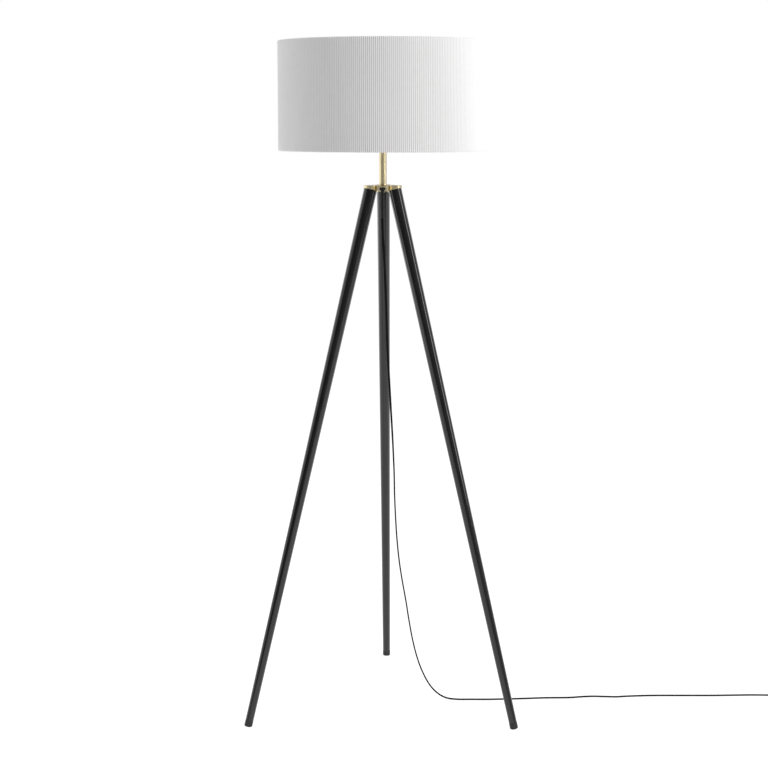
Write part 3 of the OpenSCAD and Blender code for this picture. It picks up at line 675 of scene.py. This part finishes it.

# %% [markdown]
# Painted shade: little light reaches the bottom of a fold, so the thread colour is darkened there. A
# cosine over one pleat's width of cloth, on the UV map, is lowest in the middle of the inner fold and
# darkens the colour most there. This painted shade makes the fine upright lines readable from afar.

# %% Painted shade in the inner folds
PAINTED_FOLD_SHADE = 0.73
INNER_FOLD_AT = 0.125
along_cloth = node_of(pleat_cloth, "ShaderNodeSeparateXYZ")
link(pleat_cloth, coordinates(pleat_cloth, own_uv=True), along_cloth.inputs["Vector"])
turns = node_of(pleat_cloth, "ShaderNodeMath", operation="MULTIPLY_ADD")
turns.inputs[1].default_value = 2 * math.pi / developed
turns.inputs[2].default_value = -2 * math.pi * INNER_FOLD_AT
link(pleat_cloth, along_cloth.outputs["X"], turns.inputs[0])
painted_shade_wave = node_of(pleat_cloth, "ShaderNodeMath", operation="COSINE")
link(pleat_cloth, turns.outputs["Value"], painted_shade_wave.inputs[0])
painted_shade_amount = node_of(pleat_cloth, "ShaderNodeMapRange")
painted_shade_amount.inputs["From Min"].default_value = -0.2
painted_shade_amount.inputs["From Max"].default_value = 1.0
painted_shade_amount.inputs["To Min"].default_value = 1.0
painted_shade_amount.inputs["To Max"].default_value = PAINTED_FOLD_SHADE
link(pleat_cloth, painted_shade_wave.outputs["Value"], painted_shade_amount.inputs["Value"])
# Painted shade: the cloth's mottled colour is scaled down towards the middle of each inner fold.
cloth_colour_with_painted_shade = node_of(pleat_cloth, "ShaderNodeVectorMath", operation="SCALE")
link(pleat_cloth, tone.outputs["Color"], cloth_colour_with_painted_shade.inputs[0])
link(pleat_cloth, painted_shade_amount.outputs["Result"], cloth_colour_with_painted_shade.inputs["Scale"])
link(pleat_cloth, cloth_colour_with_painted_shade.outputs["Vector"], shader_of(pleat_cloth).inputs["Base Color"])

# %% The shade's cloth
shade_cloth = make_piece(
    "pleated_cloth", cloth_work, pleat_cloth,
    instead_of=("shade_fabric",), crease=75,
)
thickness = shade_cloth.modifiers.new("cloth", "SOLIDIFY")
thickness.thickness = CLOTH
thickness.offset = -1

# %% [markdown]
# ## The drum behind the pleats
#
# A stiff white liner holds the pleats in a circle, with a wire ring at each end. The lower ring has
# three spokes that rise to a small ring on the lampholder. The wire is white and coated by dipping,
# so its surface is a little uneven and softly glossy. The CAD shapes are already right here.

# %% White liner and coated wire
liner_white = start_finish("liner_white", (0.85, 0.84, 0.81), 0.55)
mottle(liner_white, 0.03, (0.83, 0.82, 0.79), (0.87, 0.865, 0.84))
uneven_gloss(liner_white, 0.01, 0.48, 0.62)
grain(liner_white, 0.0007, 0.00005, 0.4)
paint("shade_liner", liner_white)

wire_white = start_finish("wire_white", (0.8, 0.79, 0.76), 0.35)
mottle(wire_white, 0.01, (0.77, 0.76, 0.73), (0.82, 0.815, 0.79))
uneven_gloss(wire_white, 0.006, 0.28, 0.46)
grain(wire_white, 0.0015, 0.00008, 0.5)
for name in ("shade_frame", "shade_hoop_upper"):
    paint(name, wire_white)

# %% [markdown]
# ## Brass
#
# The hub is a brass casting with a round socket for each leg and a small boss for the cord. The stem is
# drawn brass tube. Both are machined, polished and clear-coated, which leaves faint rings and a coat
# that is never perfectly even. So the finish has very fine bands
# along Z, uneven gloss, and a slow change between a pale and a deeper yellow.

# %% Polished brass
polished_brass = start_finish("polished_brass", (0.72, 0.61, 0.38), 0.24, 1.0)
mottle(polished_brass, 0.03, (0.7, 0.6, 0.37), (0.74, 0.64, 0.41))
uneven_gloss(polished_brass, 0.008, 0.21, 0.27, stretch=(1, 1, 0.2))
bands(polished_brass, 0.0006, 0.000002, "Z", 0.3)
for name in ("hub", "hub_cover", "stem_tube"):
    paint(name, polished_brass)

plain_brass = start_finish("plain_brass", (0.7, 0.56, 0.3), 0.36, 1.0)
mottle(plain_brass, 0.01, (0.62, 0.48, 0.25), (0.72, 0.58, 0.32))
uneven_gloss(plain_brass, 0.005, 0.3, 0.46)
grain(plain_brass, 0.0008, 0.00003, 0.4)
for name in ("leg_inserts", "screw_shell", "centre_contact"):
    paint(name, plain_brass)

# %% [markdown]
# ## Legs
#
# The legs are turned hardwood, stained and lacquered black. Under a strip of light such lacquer shows
# a long soft highlight, with the faint unevenness of the wood below it. The streaks are stretched
# along the leg's length, and the lacquer has a very slight orange-peel ripple.

# %% Black lacquer
lacquer = start_finish(
    "black_lacquer", (0.006, 0.006, 0.0065), 0.24,
    Coat_Weight=0.5, Coat_Roughness=0.05, Specular_IOR_Level=0.32,
)
mottle(lacquer, 0.006, (0.0045, 0.0045, 0.005), (0.009, 0.0086, 0.0086), stretch=(1, 1, 0.04))
uneven_gloss(lacquer, 0.01, 0.13, 0.19, stretch=(1, 1, 0.2))
grain(lacquer, 0.0025, 0.00002, 0.2, stretch=(1, 1, 0.06))
grain(lacquer, 0.004, 0.00002, 0.15)
for name in ("leg_left", "leg_right", "leg_rear"):
    paint(name, lacquer)

# %% Rubber feet, steel studs and the flex inside
rubber = start_finish("black_rubber", (0.018, 0.018, 0.018), 0.72)
mottle(rubber, 0.008, (0.014, 0.014, 0.014), (0.026, 0.026, 0.025))
grain(rubber, 0.0008, 0.0001, 0.5)
for name in ("foot_left", "foot_right", "foot_rear"):
    paint(name, rubber)

zinc = start_finish("zinc_steel", (0.55, 0.56, 0.57), 0.35, 1.0)
mottle(zinc, 0.004, (0.46, 0.47, 0.48), (0.6, 0.61, 0.62))
uneven_gloss(zinc, 0.003, 0.28, 0.46)
grain(zinc, 0.0006, 0.00003, 0.4)
for name in ("leg_studs", "stem_rod", "stem_nut", "terminal_screws"):
    paint(name, zinc)
paint("inner_flex", jacket)
core_wire = start_finish("wire_cores", (0.24, 0.1, 0.04), 0.5)
mottle(core_wire, 0.004, (0.2, 0.08, 0.03), (0.27, 0.12, 0.05))
grain(core_wire, 0.0005, 0.00004, 0.4)
paint("core_wires", core_wire)

# %% [markdown]
# ## Lampholder and switch
#
# The bulb screws into a black lampholder. Its cup carries the push-bar switch: a bar runs right
# through it, and pushing either knob moves the bar 5 mm. The sleeve above is moulded with a coarse
# outer thread for the two rings that clamp the shade, so both rings have a knurled edge for fingers.

# %% Lampholder finish
holder_black = start_finish("holder_black", (0.017, 0.017, 0.018), 0.38)
mottle(holder_black, 0.006, (0.013, 0.013, 0.014), (0.023, 0.023, 0.024))
uneven_gloss(holder_black, 0.004, 0.3, 0.46)
grain(holder_black, 0.0006, 0.00004, 0.4)
for name in ("holder_cup", "switch_block", "push_bar"):
    paint(name, holder_black)
ceramic = start_finish("ceramic", (0.78, 0.74, 0.66), 0.5)
mottle(ceramic, 0.006, (0.72, 0.68, 0.6), (0.8, 0.77, 0.7))
grain(ceramic, 0.001, 0.00008, 0.5)
paint("holder_core", ceramic)

# %% Threaded sleeve
sleeve_low, sleeve_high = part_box("holder_sleeve")
SLEEVE_RADIUS = sleeve_high.x
SLEEVE_BORE = 0.01415
SLEEVE_FOOT_RADIUS = 0.0172
SLEEVE_FOOT_HEIGHT = 0.004
THREAD_DEPTH = 0.0009
THREAD_PITCH = 0.003
sleeve_outline = [
    (SLEEVE_BORE, sleeve_low.z + SLEEVE_FOOT_HEIGHT),
    (SLEEVE_FOOT_RADIUS, sleeve_low.z + SLEEVE_FOOT_HEIGHT),
    (SLEEVE_FOOT_RADIUS, sleeve_low.z),
    (SLEEVE_RADIUS - 0.0005, sleeve_low.z), (SLEEVE_RADIUS, sleeve_low.z + 0.0005),
]
thread_z = sleeve_low.z + 0.006
while thread_z < sleeve_high.z - 0.003:
    sleeve_outline += [
        (SLEEVE_RADIUS, thread_z), (SLEEVE_RADIUS - THREAD_DEPTH, thread_z + 0.0007),
        (SLEEVE_RADIUS - THREAD_DEPTH, thread_z + 0.0013), (SLEEVE_RADIUS, thread_z + 0.002),
    ]
    thread_z += THREAD_PITCH
sleeve_outline += [
    (SLEEVE_RADIUS, sleeve_high.z - 0.0006), (SLEEVE_RADIUS - 0.0006, sleeve_high.z),
    (SLEEVE_BORE + 0.0005, sleeve_high.z), (SLEEVE_BORE, sleeve_high.z - 0.0005),
]
sleeve_work = bmesh.new()
spin_outline(sleeve_work, sleeve_outline, closed=True)
move(sleeve_work, AXIS)
make_piece("holder_thread", sleeve_work, holder_black,
           instead_of=("holder_sleeve",))

# %% Knurled shade rings
KNURLS = 60
STEPS_PER_KNURL = 4
KNURL_DEPTH = 0.0008


def knurled_ring(name, node_name):
    low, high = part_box(node_name)
    outer, inner = high.x, SLEEVE_RADIUS + 0.00006
    outline = [
        (inner, low.z + 0.0004), (inner + 0.0004, low.z), (outer - 0.0008, low.z),
        (outer, low.z + 0.0008), (outer, high.z - 0.0008), (outer - 0.0008, high.z),
        (inner + 0.0004, high.z), (inner, high.z - 0.0004),
    ]
    work = bmesh.new()
    spin_outline(work, outline, steps=KNURLS * STEPS_PER_KNURL, closed=True)
    for vert in work.verts:
        if vert.co.xy.length > outer - 0.0002:
            turn = math.atan2(vert.co.y, vert.co.x) / (2 * math.pi) * KNURLS * STEPS_PER_KNURL
            if round(turn) % STEPS_PER_KNURL in (0, 1):
                vert.co.xy *= 1 - KNURL_DEPTH / outer
    move(work, AXIS)
    return make_piece(name, work, holder_black, instead_of=(node_name,))


knurled_ring("clamp_ring_low", "shade_ring_lower")
knurled_ring("clamp_ring_high", "shade_ring_upper")

# %% Knobs on the bar
knob_low, knob_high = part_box("bar_buttons")
bar_low, bar_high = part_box("push_bar")
knob_work = bmesh.new()
for start, way in ((bar_high.x, 1), (bar_low.x, -1)):
    outline = [(0, 0), (0.0034, 0), (0.004, 0.0006), (0.004, 0.0042), (0.0037, 0.005),
               (0.003, 0.0056), (0.0016, 0.00595), (0, 0.006)]
    part = bmesh.new()
    spin_outline(part, outline, steps=40)
    bmesh.ops.rotate(part, cent=(0, 0, 0), matrix=Matrix.Rotation(way * math.pi / 2, 3, "Y"),
                     verts=part.verts)
    middle = (knob_low + knob_high) / 2
    move(part, (start, middle.y, middle.z))
    add_part(knob_work, part)
make_piece("bar_knobs", knob_work, holder_black, body="bar",
           instead_of=("bar_buttons",))

# %% [markdown]
# ## Bulb
#
# The bulb is an LED bulb of the usual pear shape: a threaded nickel cap, a white plastic housing that
# holds the electronics, and a matt white globe that spreads the light. The thread is made by pushing
# a spun sleeve's points in and out along a screw line, deepest in the middle of the cap and fading out
# at both ends.

# %% Threaded cap
cap_low, cap_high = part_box("bulb_cap")
CAP_RADIUS = cap_high.x
CAP_PITCH = 0.00362
CAP_FOOT_RADIUS = 0.0094
CAP_THREAD_DEPTH = 0.0011
CAP_ROWS = 44
cap_outline = [
    (0, cap_low.z), (CAP_FOOT_RADIUS, cap_low.z), (CAP_RADIUS - 0.0009, cap_low.z + 0.0024),
]
side_low = cap_low.z + 0.0026
side_height = cap_high.z - cap_low.z - 0.0032
for row in range(CAP_ROWS + 1):
    cap_outline.append((CAP_RADIUS, side_low + side_height * row / CAP_ROWS))
cap_outline += [(CAP_RADIUS - 0.0003, cap_high.z), (0, cap_high.z)]
cap_work = bmesh.new()
spin_outline(cap_work, cap_outline, steps=64)
for vert in cap_work.verts:
    radius = vert.co.xy.length
    if radius > CAP_RADIUS - 0.0004:
        turn = math.atan2(vert.co.y, vert.co.x) / (2 * math.pi)
        wave = 0.5 - 0.5 * math.cos(2 * math.pi * (vert.co.z / CAP_PITCH - turn))
        fade = min(1, (vert.co.z - side_low) / 0.002, (cap_high.z - vert.co.z) / 0.003)
        vert.co.xy *= 1 - CAP_THREAD_DEPTH * wave * max(0, fade) / radius
move(cap_work, AXIS)
make_piece("threaded_cap", cap_work, nickel, body="bulb", instead_of=("bulb_cap",),
           crease=60)

# %% Bulb finishes
black_glass = start_finish("black_glass", (0.01, 0.01, 0.012), 0.15)
mottle(black_glass, 0.004, (0.008, 0.008, 0.01), (0.016, 0.016, 0.018))
uneven_gloss(black_glass, 0.003, 0.1, 0.22)
paint("bulb_insulator", black_glass)
paint("bulb_contact", nickel)

bulb_white = start_finish("bulb_housing_white", (0.8, 0.8, 0.79), 0.4)
mottle(bulb_white, 0.02, (0.78, 0.78, 0.765), (0.82, 0.82, 0.81))
uneven_gloss(bulb_white, 0.006, 0.34, 0.46)
grain(bulb_white, 0.0006, 0.00004, 0.4)
paint("bulb_housing", bulb_white)

board_finish = start_finish("bare_aluminium", (0.7, 0.71, 0.72), 0.4, 1.0)
mottle(board_finish, 0.006, (0.62, 0.63, 0.64), (0.74, 0.75, 0.76))
grain(board_finish, 0.0006, 0.00003, 0.4)
paint("bulb_board", board_finish)

globe_white = start_finish("globe_diffuser", (0.84, 0.835, 0.82), 0.42, Subsurface_Weight=0.2)
mottle(globe_white, 0.02, (0.825, 0.82, 0.805), (0.85, 0.848, 0.835))
uneven_gloss(globe_white, 0.008, 0.36, 0.5)
grain(globe_white, 0.0008, 0.00004, 0.4)
paint("bulb_globe", globe_white)

# %% [markdown]
# ## Floor and light
#
# The lamp stands on a plain white floor in an even white surround. The floor gives most of its own
# light, so that it stays white from end to end and thin dark things on it, such as the cord, keep
# their width. A floor that is lit too strongly eats into them.

# %% Floor
FLOOR_HALF_WIDTH = 12
FLOOR_GLOW = 0.9
floor_mesh = bpy.data.meshes.new("floor")
floor_work = bmesh.new()
bmesh.ops.create_grid(floor_work, x_segments=1, y_segments=1, size=FLOOR_HALF_WIDTH)
floor_work.to_mesh(floor_mesh)
floor_work.free()
floor = bpy.data.objects.new("floor", floor_mesh)
bpy.context.scene.collection.objects.link(floor)
floor_white = start_finish("floor_white", (0.3, 0.3, 0.3), 0.9, Specular_IOR_Level=0.0)
shader_of(floor_white).inputs["Emission Color"].default_value = (1, 1, 1, 1)
shader_of(floor_white).inputs["Emission Strength"].default_value = FLOOR_GLOW
floor_mesh.materials.append(floor_white)

# %% [markdown]
# The surround is pure white only where the camera sees it directly. What lights the lamp, and what it
# reflects, is greyer, and darkest on the side where the camera stands. This is what a studio looks
# like from the lamp's place, and it gives polished brass and black lacquer their dark middles.

# %% Surround
SURROUND_LEVEL = 0.39
SURROUND_SLOPE = (0.16, 0.24, 0)
world = bpy.data.worlds.new("surround")
bpy.context.scene.world = world
world.use_nodes = True
world_nodes = world.node_tree.nodes
world_links = world.node_tree.links
background = world_nodes["Background"]
background.inputs["Color"].default_value = (1, 1, 1, 1)
sight = world_nodes.new("ShaderNodeTexCoord")
slope = world_nodes.new("ShaderNodeVectorMath")
slope.operation = "DOT_PRODUCT"
slope.inputs[1].default_value = SURROUND_SLOPE
level = world_nodes.new("ShaderNodeMath")
level.operation = "ADD"
level.inputs[1].default_value = SURROUND_LEVEL
lit = world_nodes.new("ShaderNodeLightPath")
choose = world_nodes.new("ShaderNodeMix")
world_links.new(sight.outputs["Generated"], slope.inputs[0])
world_links.new(slope.outputs["Value"], level.inputs[0])
world_links.new(lit.outputs["Is Camera Ray"], choose.inputs["Factor"])
world_links.new(level.outputs["Value"], choose.inputs["A"])
choose.inputs["B"].default_value = 1.0
world_links.new(choose.outputs["Result"], background.inputs["Strength"])

# %% [markdown]
# Three soft lights do the rest. A tall narrow strip on the right draws the long highlights on the legs
# and the stem. A panel high on the right brightens that side of the shade, from above, so that the
# brass doesn't mirror it. A very wide, weak fill on the left, a little behind, lifts the far edge.

# %% Soft lights
def soft_light(name, place, target, size, power):
    data = bpy.data.lights.new(name, "AREA")
    data.shape = "RECTANGLE"
    data.size, data.size_y = size
    data.energy = power
    light = bpy.data.objects.new(name, data)
    light.location = AXIS + Vector(place)
    aim = AXIS + Vector(target) - light.location
    light.rotation_euler = aim.to_track_quat("-Z", "Y").to_euler()
    bpy.context.scene.collection.objects.link(light)
    return light


soft_light("strip", (3.1, -1.2, 1.85), (0, 0, 1.0), (0.7, 1.8), 20)
soft_light("panel", (1.97, -1.38, 3.6), (0, 0, 1.3), (1.6, 1.6), 70)
soft_light("fill", (-3.1, 0.8, 1.4), (0, 0, 0.9), (6.0, 3.6), 58)
bpy.context.scene.view_settings.view_transform = "Standard"
bpy.context.scene.view_settings.look = "None"
